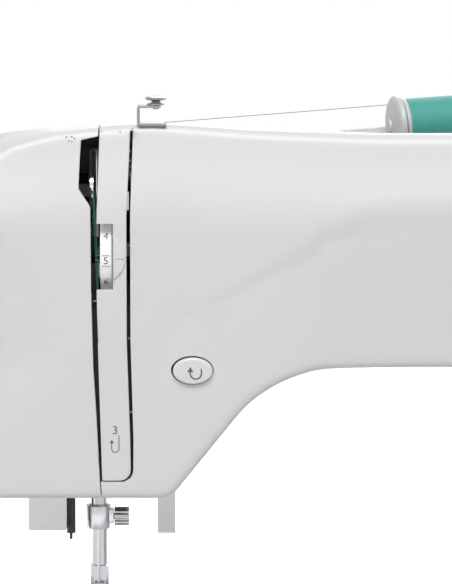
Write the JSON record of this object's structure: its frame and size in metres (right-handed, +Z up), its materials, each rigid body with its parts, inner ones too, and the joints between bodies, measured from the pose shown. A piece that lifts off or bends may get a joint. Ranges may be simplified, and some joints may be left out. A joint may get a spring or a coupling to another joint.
{
  "type": "sewing machine",
  "caption": "Free-arm domestic sewing machine with front threading slots, tension wheel, reverse button, slanted spool on top, handwheel and accessory tray.",
  "frame": {"origin": "middle of the bounding box's base, on the table", "axes": "+X to the operator's right, +Y away from the operator, +Z up"},
  "size_m": [0.4, 0.176, 0.299],
  "materials": {
    "bronze": "sintered",
    "cast_metal": "as cast",
    "chrome": "polished",
    "circuit": "solder mask",
    "clear_plastic": "clear",
    "dark_plastic": "matt moulded",
    "grey_plastic": "matt moulded",
    "rubber": "matt",
    "steel": "ground",
    "thread_teal": "spun thread",
    "white_plastic": "satin moulded"
  },
  "bodies": {
    "machine": {"front_cover": "white_plastic", "rear_cover": "white_plastic", "face_cover": "white_plastic", "thread_strip": "white_plastic", "top_cover": "white_plastic", "base_shell": "white_plastic", "base_plate": "grey_plastic", "rubber_feet": "rubber", "free_arm_shell": "white_plastic", "main_frame": "cast_metal", "shaft_bushes": "bronze", "timing_belt": "rubber", "bobbin_case": "dark_plastic", "motor": "cast_metal", "motor_belt": "rubber", "needle_plate": "chrome", "tension_discs": "steel", "thread_guide": "chrome", "spool_pin": "grey_plastic", "circuit_board": "circuit", "thread": "thread_teal", "presser_spring": "steel"},
    "main_shaft": {"upper_shaft": "steel", "handwheel": "white_plastic", "needle_crank": "steel", "timing_pulley_upper": "dark_plastic", "driven_pulley": "dark_plastic"},
    "link": {"needle_link": "steel"},
    "lower_drive": {"lower_shaft": "steel", "lower_gear": "dark_plastic", "timing_pulley_lower": "dark_plastic"},
    "hook": {"hook_gear": "dark_plastic", "rotary_hook": "steel"},
    "motor_rotor": {"motor_pulley": "steel"},
    "needle_slider": {"needle_bar": "chrome", "needle_clamp": "chrome", "needle": "chrome"},
    "clamp_screw": {"clamp_screw": "chrome"},
    "take_up": {"take_up_lever": "chrome"},
    "threader": {"needle_threader": "grey_plastic"},
    "buttonhole": {"buttonhole_lever": "grey_plastic"},
    "lifter": {"foot_lifter": "grey_plastic"},
    "presser": {"presser_bar": "chrome"},
    "foot": {"presser_foot": "chrome"},
    "feed_carrier": {"feed_bar": "cast_metal"},
    "feed_teeth": {"feed_dog": "steel"},
    "drop_feed": {"drop_feed_lever": "dark_plastic"},
    "bobbin": {"bobbin": "clear_plastic"},
    "bobbin_lid": {"bobbin_cover": "clear_plastic"},
    "tray": {"accessory_tray": "white_plastic"},
    "tray_door": {"tray_lid": "white_plastic"},
    "tension": {"tension_dial": "white_plastic"},
    "reverse": {"reverse_button": "white_plastic"},
    "pattern": {"pattern_dial": "white_plastic"},
    "length": {"length_dial": "white_plastic"},
    "spool": {"spool": "thread_teal"},
    "cap": {"spool_cap": "grey_plastic"},
    "winder": {"bobbin_winder": "grey_plastic"},
    "handle": {"carry_handle": "white_plastic"},
    "switch": {"power_switch": "dark_plastic"}
  },
  "joints": [
    {"name": "shaft_turn", "type": "hinge", "parent": "machine", "child": "main_shaft", "pos_m": [0, 0, 0.246], "axis": [1, 0, 0], "continuous": true},
    {"name": "link_turn", "type": "hinge", "parent": "main_shaft", "child": "link", "pos_m": [-0.128, 0, 0.261], "axis": [1, 0, 0], "continuous": true},
    {"name": "lower_turn", "type": "hinge", "parent": "machine", "child": "lower_drive", "pos_m": [0, -0.0007, 0.046], "axis": [1, 0, 0], "continuous": true},
    {"name": "hook_turn", "type": "hinge", "parent": "machine", "child": "hook", "pos_m": [-0.136, -0.022, 0.06], "axis": [0, 0, 1], "continuous": true},
    {"name": "motor_turn", "type": "hinge", "parent": "machine", "child": "motor_rotor", "pos_m": [0.1, 0.05, 0.046], "axis": [1, 0, 0], "continuous": true},
    {"name": "needle_slide", "type": "slide", "parent": "machine", "child": "needle_slider", "axis": [0, 0, 1], "range_m": [-0.03, 0]},
    {"name": "clamp_screw_turn", "type": "hinge", "parent": "needle_slider", "child": "clamp_screw", "pos_m": [-0.128, 0, 0.126], "axis": [1, 0, 0], "range_deg": [-180, 180]},
    {"name": "take_up_swing", "type": "hinge", "parent": "machine", "child": "take_up", "pos_m": [-0.1527, 0.022, 0.235], "axis": [1, 0, 0], "range_deg": [0, 45]},
    {"name": "threader_slide", "type": "slide", "parent": "machine", "child": "threader", "axis": [0, 0, 1], "range_m": [-0.022, 0]},
    {"name": "buttonhole_slide", "type": "slide", "parent": "machine", "child": "buttonhole", "axis": [0, 0, 1], "range_m": [-0.025, 0]},
    {"name": "lifter_swing", "type": "hinge", "parent": "machine", "child": "lifter", "pos_m": [-0.116, 0.038, 0.156], "axis": [1, 0, 0], "range_deg": [0, 60]},
    {"name": "presser_slide", "type": "slide", "parent": "machine", "child": "presser", "axis": [0, 0, 1], "range_m": [0, 0.0055], "deforming": ["presser_spring"]},
    {"name": "foot_tilt", "type": "hinge", "parent": "presser", "child": "foot", "pos_m": [-0.136, 0.009, 0.0906], "axis": [1, 0, 0], "range_deg": [-4, 4]},
    {"name": "feed_slide", "type": "slide", "parent": "machine", "child": "feed_carrier", "axis": [0, 1, 0], "range_m": [-0.002, 0.002]},
    {"name": "feed_lift", "type": "slide", "parent": "feed_carrier", "child": "feed_teeth", "axis": [0, 0, 1], "range_m": [0, 0.0018]},
    {"name": "drop_feed_slide", "type": "slide", "parent": "machine", "child": "drop_feed", "axis": [1, 0, 0], "range_m": [0, 0.006]},
    {"name": "bobbin_turn", "type": "hinge", "parent": "machine", "child": "bobbin", "pos_m": [-0.136, -0.022, 0.07], "axis": [0, 0, 1], "continuous": true},
    {"name": "bobbin_cover_lift", "type": "slide", "parent": "machine", "child": "bobbin_lid", "axis": [0, 0, 1], "range_m": [0, 0.025]},
    {"name": "tray_slide", "type": "slide", "parent": "machine", "child": "tray", "axis": [-1, 0, 0], "range_m": [0, 0.24]},
    {"name": "tray_lid_open", "type": "hinge", "parent": "tray", "child": "tray_door", "pos_m": [-0.09, -0.0504, 0.0813], "axis": [-1, 0, 0], "range_deg": [0, 95]},
    {"name": "tension_turn", "type": "hinge", "parent": "machine", "child": "tension", "pos_m": [-0.1312, -0.0356, 0.2352], "axis": [1, 0, 0], "range_deg": [-110, 110]},
    {"name": "reverse_push", "type": "slide", "parent": "machine", "child": "reverse", "axis": [0, 1, 0], "range_m": [0, 0.0025], "stiffness_N_per_m": 900, "springref_m": -0.001},
    {"name": "pattern_turn", "type": "hinge", "parent": "machine", "child": "pattern", "pos_m": [0.101, -0.06, 0.2275], "axis": [0, -1, 0], "continuous": true},
    {"name": "length_turn", "type": "hinge", "parent": "machine", "child": "length", "pos_m": [0.101, -0.06, 0.146], "axis": [0, -1, 0], "range_deg": [-150, 150]},
    {"name": "spool_turn", "type": "hinge", "parent": "machine", "child": "spool", "pos_m": [-0.023, -0.014, 0.281], "axis": [0.965, 0.2586, 0.0436], "continuous": true},
    {"name": "cap_slide", "type": "slide", "parent": "machine", "child": "cap", "axis": [-0.965, -0.2586, -0.0436], "range_m": [0, 0.005]},
    {"name": "winder_turn", "type": "hinge", "parent": "machine", "child": "winder", "pos_m": [0.136, -0.008, 0.29], "axis": [0, 0, 1], "continuous": true},
    {"name": "handle_swing", "type": "hinge", "parent": "machine", "child": "handle", "pos_m": [0.03, 0.052, 0.246], "axis": [1, 0, 0], "range_deg": [0, 165]},
    {"name": "switch_rock", "type": "hinge", "parent": "machine", "child": "switch", "pos_m": [0.1765, 0, 0.042], "axis": [0, 1, 0], "range_deg": [-6, 6]}
  ],
  "couplings": [
    {"joint": "link_turn", "follows": "shaft_turn", "ratio": -1},
    {"joint": "lower_turn", "follows": "shaft_turn", "ratio": 1},
    {"joint": "hook_turn", "follows": "shaft_turn", "ratio": -2},
    {"joint": "motor_turn", "follows": "shaft_turn", "ratio": 4},
    {"joint": "lifter_swing", "follows": "presser_slide", "rad_per_m": 190.4}
  ]
}
